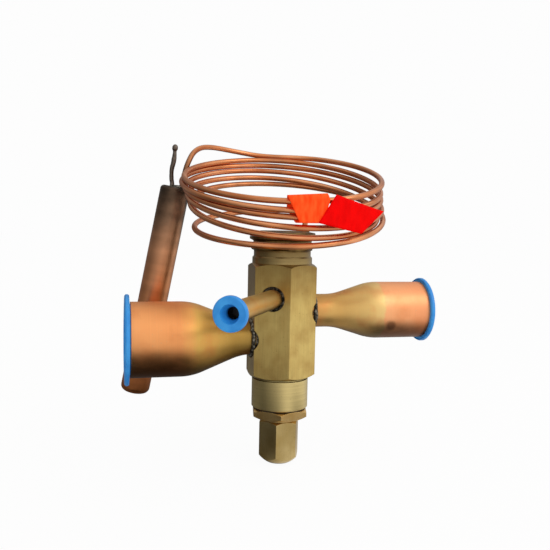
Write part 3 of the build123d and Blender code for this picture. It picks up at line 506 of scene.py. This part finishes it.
def swept_tube(line, radii):
    """Rings of points carried along a centre line without twisting; radii are (share, millimetres).

    Each point keeps its way round the tube and its length along it, for the streaks of the finish.
    """
    sides, tube = 16, bmesh.new()
    layer = tube.verts.layers.float_vector.new("along")
    outward, length, rings = Vector((0, 0, 1)), 0.0, []
    for index, centre in enumerate(line):
        heading = (line[min(index + 1, len(line) - 1)] - line[max(index - 1, 0)]).normalized()
        outward = (outward - heading * outward.dot(heading)).normalized()
        aside = heading.cross(outward)
        length += (centre - line[max(index - 1, 0)]).length
        radius = value_at(radii, index / (len(line) - 1)) * MM
        ring = []
        for side in range(sides):
            angle = 2 * pi * side / sides
            vertex = tube.verts.new(centre + (outward * cos(angle) + aside * sin(angle)) * radius)
            vertex[layer] = (cos(angle), sin(angle), length)
            ring.append(vertex)
        rings.append(ring)
    for ring, following in zip(rings, rings[1:]):
        for side in range(sides):
            after = (side + 1) % sides
            tube.faces.new((ring[side], ring[after], following[after], following[side]))
    tube.faces.new(rings[0])
    tube.faces.new(rings[-1])
    bmesh.ops.recalc_face_normals(tube, faces=tube.faces)
    return tube


def capillary():
    """The capillary, from the bulb round the turns and into the head."""
    rise = 6.0
    foot = [on_bulb(CAPILLARY_FOOT, 0), on_bulb(CAPILLARY_FOOT, rise)]
    line = centre_line(foot + BULB_LEAD + coil_points() + HEAD_LEAD)
    tube = swept_tube(line, [(0.0, CAPILLARY_RADIUS), (1.0, CAPILLARY_RADIUS)])
    finished("capillary", tube, drawn_copper(), replaced=["capillary_tube"])


# The filling tail's route as (across, along) on the bulb, and its radius at each share of the way.
TAIL_ROUTE = [(-1.5, -1.0), (-1.6, 1.0), (-2.4, 3.0), (-3.2, 6.6), (-2.9, 10.6), (-3.2, 14.1), (-3.5, 15.9),
              (-3.6, 17.9)]
TAIL_RADII = [(0.0, 1.15), (0.12, 0.95), (0.4, 0.92), (0.62, 1.10), (0.78, 0.80), (0.84, 0.78),
              (0.90, 1.22), (0.95, 1.25), (0.985, 0.85), (1.0, 0.3)]


def filling_tail(finish):
    """The bulb's filling tube: pinched flat below its end, which was melted to a bead."""
    dent_size, dent_depth = 1.3 * MM, Vector((0.12, 0.12, 0.1)) * MM
    tube = swept_tube(centre_line([on_bulb(across, along) for across, along in TAIL_ROUTE]), TAIL_RADII)
    for vertex in tube.verts:
        vertex.co += dent_depth * noise.noise(vertex.co / dent_size)
    finished("bulb_filling_tail", tube, finish, replaced=["bulb_tail"])


# The fillets at the large tubes: the ring's and its bead's radius, and how far out from the axis.
FILLET_RING, FILLET_BEAD, FILLET_ACROSS = 7.3, 0.95, 13.1


def tube_fillet(name, across, height, finish):
    """A lumpy ring of filler where a large tube leaves the body."""
    middle = Vector((across, 0, height)) * MM
    top = middle + Vector((0, 0, FILLET_RING)) * MM
    large_lump, small_lump, lumpiness = 2.2 * MM, 0.9 * MM, 0.45
    fillet = bmesh.new()
    bmesh.ops.create_circle(fillet, segments=12, radius=FILLET_BEAD * MM, matrix=Matrix.Translation(top))
    bmesh.ops.rotate(fillet, verts=fillet.verts, cent=top, matrix=Matrix.Rotation(pi / 2, 3, "X"))
    bmesh.ops.spin(fillet, geom=fillet.edges, cent=(0, 0, height * MM), axis=(1, 0, 0), angle=2 * pi,
                   steps=64, use_merge=True)
    for vertex in fillet.verts:
        lump = noise.noise(vertex.co / large_lump) + 0.5 * noise.noise(vertex.co / small_lump)
        out = Vector((0, vertex.co.y, vertex.co.z - height * MM)).normalized()
        core = middle + out * FILLET_RING * MM
        vertex.co = core + (vertex.co - core) * (1 + lumpiness * lump)
    bmesh.ops.remove_doubles(fillet, verts=fillet.verts, dist=0.001 * MM)
    bmesh.ops.recalc_face_normals(fillet, faces=fillet.faces)
    finished(name, fillet, finish)


def bulb_mound(finish):
    """The low mound of filler on the bulb's top face, round the feet of its two tubes."""
    half_length, half_depth, half_height, lump_size = 4.2, 2.0, 0.9, 0.8 * MM
    mound = bmesh.new()
    bmesh.ops.create_uvsphere(mound, u_segments=32, v_segments=16, radius=MM)
    for vertex in mound.verts:
        lump = 1 + 0.25 * noise.noise(vertex.co / lump_size)
        x, y, z = vertex.co
        vertex.co = Vector((x * half_length, y * half_depth, z * half_height)) * lump + on_bulb(0.7, 0.1) * MM
    bmesh.ops.recalc_face_normals(mound, faces=mound.faces)
    finished("bulb_braze_mound", mound, finish)


# The tape: the heights of its folds, its upper edge's rise to the right, and its edges in front of
# and behind the turns as (height, x) points.
TAPE_LOW, TAPE_HIGH, TAPE_RISE = 101.1, 110.9, 1.0
TAPE_FRONT, TAPE_DEPTH, TAPE_THICKNESS = 44.3, 6.8, 0.4
WRAP_LEFT = [(101.1, -4.9), (110.9, -9.7)]
WRAP_LEFT_BEHIND = [(101.1, -4.9), (106.0, -8.2), (110.9, -8.2)]
WRAP_RIGHT = [(101.1, 2.3), (108.0, 6.4), (110.9, 5.2)]
# The flag's upright plane, and its corners in it: low left, low right, high right, high left.
FLAG_ANGLE, FLAG_DISTANCE = radians(-73), 44.2
FLAG_OUTLINE = [(-12.0, 101.2), (6.9, 97.6), (16.6, 106.0), (-4.5, 111.5)]


def ring_place(share):
    """A point of the wrap's section at a share of its way round: (depth, height), with sharp folds."""
    half_depth, half_height, fold = TAPE_DEPTH / 2, (TAPE_HIGH - TAPE_LOW) / 2, 0.25
    angle = 2 * pi * share
    depth = half_depth * (abs(cos(angle)) ** fold) * (1 if cos(angle) >= 0 else -1)
    height = half_height * (abs(sin(angle)) ** fold) * (1 if sin(angle) >= 0 else -1)
    return depth, TAPE_LOW + half_height + height


def thicken(piece, offset):
    """Gives a film its thickness: inwards with offset -1, to both sides with 0."""
    solid = piece.modifiers.new("film", "SOLIDIFY")
    solid.thickness = TAPE_THICKNESS * MM
    solid.offset = offset


def tape_wrap():
    """The strip folded round the three upper turns, a closed ring of film seen from the side."""
    across_steps, round_steps, ripple_depth = 16, 64, 0.18
    film = bmesh.new()
    bmesh.ops.create_grid(film, x_segments=across_steps, y_segments=round_steps, size=0.5)
    for vertex in film.verts:
        share, way = vertex.co.y + 0.5, vertex.co.x + 0.5
        depth, height = ring_place(share)
        behind = 0.5 - depth / TAPE_DEPTH
        left = value_at(WRAP_LEFT, height) * (1 - behind) + value_at(WRAP_LEFT_BEHIND, height) * behind
        x = left + (value_at(WRAP_RIGHT, height) - left) * way
        ripple = ripple_depth * noise.noise(Vector((x * 0.5, height * 0.35, depth)))
        y = -TAPE_FRONT + TAPE_DEPTH * behind + ripple
        rise = TAPE_RISE * way * (height - TAPE_LOW) / (TAPE_HIGH - TAPE_LOW)
        vertex.co = Vector((x, y, height + rise)) * MM
    bmesh.ops.remove_doubles(film, verts=film.verts, dist=0.01 * MM)
    bmesh.ops.recalc_face_normals(film, faces=film.faces)
    vinyl = vinyl_film("fluorescent_vinyl_wrap", "#ff642a", "#fb4413", "#ff3c10", 0.22)
    piece = finished("marker_tape_wrap", film, vinyl, replaced=["marker_tape"])
    thicken(piece, -1)


def tape_flag():
    """The doubled free end: stiff, nearly flat, a little curled at its outer corners."""
    curl_from, curl_depth, ripple_depth, ripple_length = 0.6, 0.5, 0.15, 4.0
    film = bmesh.new()
    bmesh.ops.create_grid(film, x_segments=20, y_segments=14, size=0.5)
    normal = Vector((cos(FLAG_ANGLE), sin(FLAG_ANGLE), 0))
    aside = Vector((-normal.y, normal.x, 0))
    low_left, low_right, high_right, high_left = [Vector(point) for point in FLAG_OUTLINE]
    for vertex in film.verts:
        u, v = vertex.co.x + 0.5, vertex.co.y + 0.5
        flat = low_left.lerp(low_right, u).lerp(high_left.lerp(high_right, u), v)
        curl = curl_depth * (max(0.0, u - curl_from) / (1 - curl_from)) ** 2 * (0.4 + v)
        ripple = ripple_depth * noise.noise(Vector((flat.x / ripple_length, flat.y / ripple_length, 3.0)))
        place = normal * (FLAG_DISTANCE + curl + ripple) + aside * flat.x + Vector((0, 0, flat.y))
        vertex.co = place * MM
    bmesh.ops.recalc_face_normals(film, faces=film.faces)
    vinyl = vinyl_film("fluorescent_vinyl_flag", "#f20303", "#e00202", "#ff0000", 0.13)
    thicken(finished("marker_tape_flag", film, vinyl), 0)


# ---------------------------------------------------------------- studio
BRIGHT_SIDE = Vector((0.55, -0.60, 0.58)).normalized()
# The object's shade painted on the floor, which the metal mirrors: its middle, its squeeze from front
# to back, and how far it is full and where it ends, in millimetres.
FLOOR_SHADES = [((-56, -62, 0), 1.0, 38, 108), ((62, -21, 0), 0.7, 18, 52)]


def studio_level(tree, way):
    """How bright the studio is in a direction: full in front, above and to the right, dim at the left."""
    facing = add(tree, "VectorMath", {0: way, 1: BRIGHT_SIDE}, operation="DOT_PRODUCT").outputs[1]
    return add(tree, "MapRange", {0: facing, 1: -0.45, 2: 0.55, 3: 0.17, 4: 1.0}).outputs[0]


def seen_rays(tree):
    """Whether a ray is a mirrored one, and whether it is the camera's, straight or through glass."""
    rays = add(tree, "LightPath")
    seen = add(tree, "Math", {0: rays.outputs["Is Camera Ray"], 1: rays.outputs["Is Transmission Ray"]},
               operation="MAXIMUM").outputs[0]
    return rays.outputs["Is Glossy Ray"], seen


def plain_floor():
    """A pale floor that reads as white and keeps the object's soft shadow.

    In the metal it mirrors the studio at a distance and, close by, the object's shade painted on the floor.
    """
    shade_level, white_share, floor_drop, half_size = 0.09, 0.95, 0.5 * MM, 4.0
    made = bpy.data.materials.new("pale_studio_floor")
    made.use_nodes = True
    tree = made.node_tree
    tree.nodes.clear()
    place = add(tree, "TexCoord").outputs["Object"]
    way = add(tree, "VectorMath", {0: place}, operation="NORMALIZE").outputs[0]
    mirrored = studio_level(tree, way)
    # Painted shade: patches darken the floor where the metal mirrors it.
    for middle, squeeze, full, end in FLOOR_SHADES:
        squeezed = add(tree, "VectorMath", {0: place, 1: (1, squeeze, 1)}, operation="MULTIPLY").outputs[0]
        away = add(tree, "VectorMath", {0: squeezed, 1: Vector(middle) * MM}, operation="DISTANCE").outputs[1]
        shaded = add(tree, "MapRange", {0: away, 1: full * MM, 2: end * MM, 3: shade_level, 4: 1.0},
                     interpolation_type="SMOOTHSTEP").outputs[0]
        mirrored = add(tree, "Math", {0: mirrored, 1: shaded}, operation="MULTIPLY").outputs[0]
    glossy, seen = seen_rays(tree)
    share = add(tree, "Math", {0: seen, 1: white_share, 2: glossy}, operation="MULTIPLY_ADD").outputs[0]
    strength = add(tree, "Mix", {0: glossy, 2: 1.0, 3: mirrored}).outputs[0]
    matt = add(tree, "BsdfDiffuse", {0: colour("#ecece9")}).outputs[0]
    white = add(tree, "Emission", {0: colour("#ffffff"), 1: strength}).outputs[0]
    mixed = add(tree, "MixShader", {0: share, 1: matt, 2: white}).outputs[0]
    add(tree, "OutputMaterial", {0: mixed})
    data = bpy.data.meshes.new("floor")
    flat = bmesh.new()
    bmesh.ops.create_grid(flat, x_segments=1, y_segments=1, size=half_size,
                          matrix=Matrix.Translation((0, 0, -floor_drop)))
    flat.to_mesh(data)
    flat.free()
    data.materials.append(made)
    floor = bpy.data.objects.new("floor", data)
    scene.collection.objects.link(floor)


def studio_dome():
    """A dome that is bright above and to the right and dim to the left, and white where it is seen."""
    mirrored_white = 0.10   # how much of the white the metal mirrors beside the studio's own level
    world = bpy.data.worlds.new("studio_dome")
    scene.world = world
    world.use_nodes = True
    tree = world.node_tree
    tree.nodes.clear()
    level = studio_level(tree, add(tree, "TexCoord").outputs["Generated"])
    glossy, seen = seen_rays(tree)
    share = add(tree, "Math", {0: glossy, 1: mirrored_white, 2: seen}, operation="MULTIPLY_ADD").outputs[0]
    strength = add(tree, "Mix", {0: share, 2: level, 3: 1.0}).outputs[0]
    dome = add(tree, "Background", {0: colour("#fdfdfd"), 1: strength}).outputs[0]
    add(tree, "OutputWorld", {0: dome})


def broad_lamp():
    """One wide lamp above the right front, aimed at the valve's middle."""
    data = bpy.data.lights.new("broad_lamp", "AREA")
    data.shape = "DISK"
    data.size = 0.5
    data.energy = 1.0
    lamp = bpy.data.objects.new("broad_lamp", data)
    lamp.location = (0.45, -0.45, 0.55)
    aim = Vector((0, 0, 0.07))
    lamp.rotation_euler = (Vector(lamp.location) - aim).to_track_quat("Z", "Y").to_euler()
    scene.collection.objects.link(lamp)


place_camera()
capillary()
filling_tail(burnt_copper("burnt_copper_tail", TAIL_STOPS, wedge_aside=40))
filler = brazing_filler()
tube_fillet("inlet_fillet", FILLET_ACROSS, INLET_HEIGHT, filler)
tube_fillet("outlet_fillet", -FILLET_ACROSS, OUTLET_HEIGHT, filler)
bulb_mound(filler)
tape_wrap()
tape_flag()
dress_nodes(filler)
plain_floor()
studio_dome()
broad_lamp()
scene.view_settings.view_transform = "Standard"
